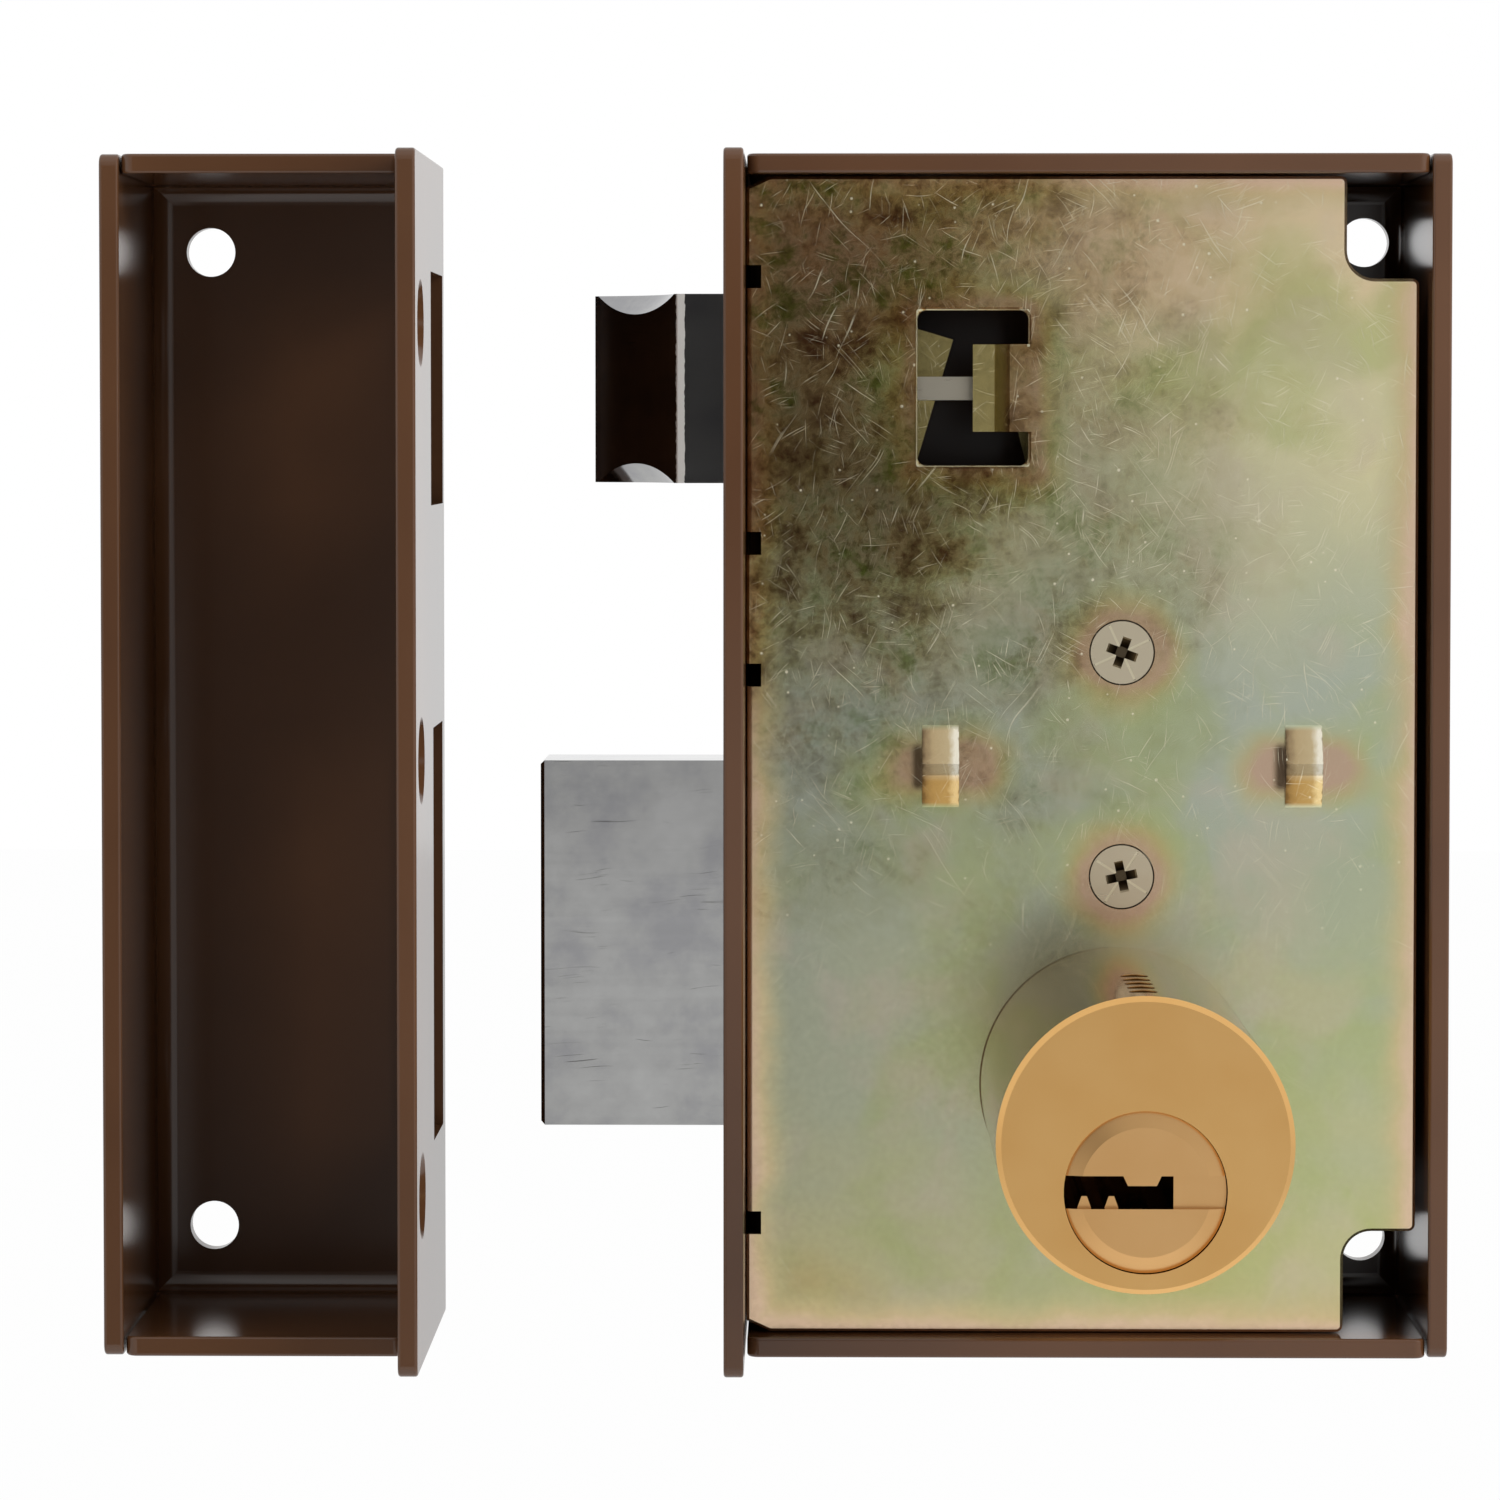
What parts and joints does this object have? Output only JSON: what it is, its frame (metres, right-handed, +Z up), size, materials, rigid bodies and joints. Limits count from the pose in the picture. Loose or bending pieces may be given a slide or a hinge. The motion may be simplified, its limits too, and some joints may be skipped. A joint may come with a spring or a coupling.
{
  "type": "rim box lock",
  "caption": "Surface-mounted door lock in a folded steel case, with sprung latch, deadbolt, round key cylinder and strike box.",
  "frame": {"origin": "cylinder axis where it crosses the plane of the door face, on which the case rim lies", "axes": "+X from the strike to the lock, +Y from the door into the room, +Z up"},
  "size_m": [0.137, 0.0976, 0.1226],
  "materials": {
    "brown_paint": "glossy oven-baked enamel",
    "yellow_zinc": "yellow-passivated zinc plate, mottled",
    "brass": "turned and polished",
    "pin_brass": "turned",
    "chrome": "bright chromium plate",
    "steel": "bare cold-rolled steel",
    "screw_zinc": "zinc-plated",
    "spring_steel": "drawn wire"
  },
  "bodies": {
    "fixed_parts": {"case_shell": "brown_paint", "mechanism_plate": "yellow_zinc", "plate_posts": "steel", "plate_screws": "screw_zinc", "cylinder_body": "brass", "cylinder_screws": "screw_zinc", "chamber_plugs": "pin_brass", "driver_pins": "pin_brass", "pin_springs": "spring_steel", "turn_bush": "brass", "spring_anchor": "yellow_zinc", "latch_spring": "spring_steel", "lever_clip": "spring_steel", "strike_box": "brown_paint"},
    "latch_group": {"latch_bolt": "chrome", "latch_tail": "yellow_zinc", "latch_rod": "steel", "latch_pins": "steel", "latch_pull": "brown_paint"},
    "lever_group": {"latch_lever": "yellow_zinc"},
    "bolt_group": {"deadbolt": "chrome", "deadbolt_tail": "steel", "deadbolt_pins": "steel", "release_stud": "steel"},
    "plug_group": {"cylinder_plug": "brass", "key_pins": "pin_brass", "plug_clip": "spring_steel", "tailpiece": "steel"},
    "turn_group": {"drive_spindle": "steel", "turn_clip": "spring_steel", "turn_knob": "brown_paint", "knob_screw": "screw_zinc"}
  },
  "joints": [
    {"name": "latch_slide", "type": "slide", "parent": "fixed_parts", "child": "latch_group", "axis": [1, 0, 0], "range_m": [0, 0.0135], "stiffness_N_per_m": 150, "springref_m": -0.012, "deforming": ["latch_spring"]},
    {"name": "lever_turn", "type": "hinge", "parent": "fixed_parts", "child": "lever_group", "pos_m": [0.0004, 0, 0.0441], "axis": [0, 1, 0], "range_deg": [0, 28.5]},
    {"name": "bolt_slide", "type": "slide", "parent": "fixed_parts", "child": "bolt_group", "axis": [1, 0, 0], "range_m": [0, 0.01885]},
    {"name": "plug_turn", "type": "hinge", "parent": "fixed_parts", "child": "plug_group", "pos_m": [0, 0, -0.0044], "axis": [0, 1, 0], "range_deg": [0, 361]},
    {"name": "knob_turn", "type": "hinge", "parent": "fixed_parts", "child": "turn_group", "pos_m": [0, 0, -0.0044], "axis": [0, 1, 0], "range_deg": [0, 361]}
  ],
  "couplings": [
    {"joint": "lever_turn", "follows": "latch_slide", "rad_per_m": 36.357},
    {"joint": "plug_turn", "follows": "bolt_slide", "rad_per_m": 333.33},
    {"joint": "knob_turn", "follows": "bolt_slide", "rad_per_m": 333.33}
  ]
}
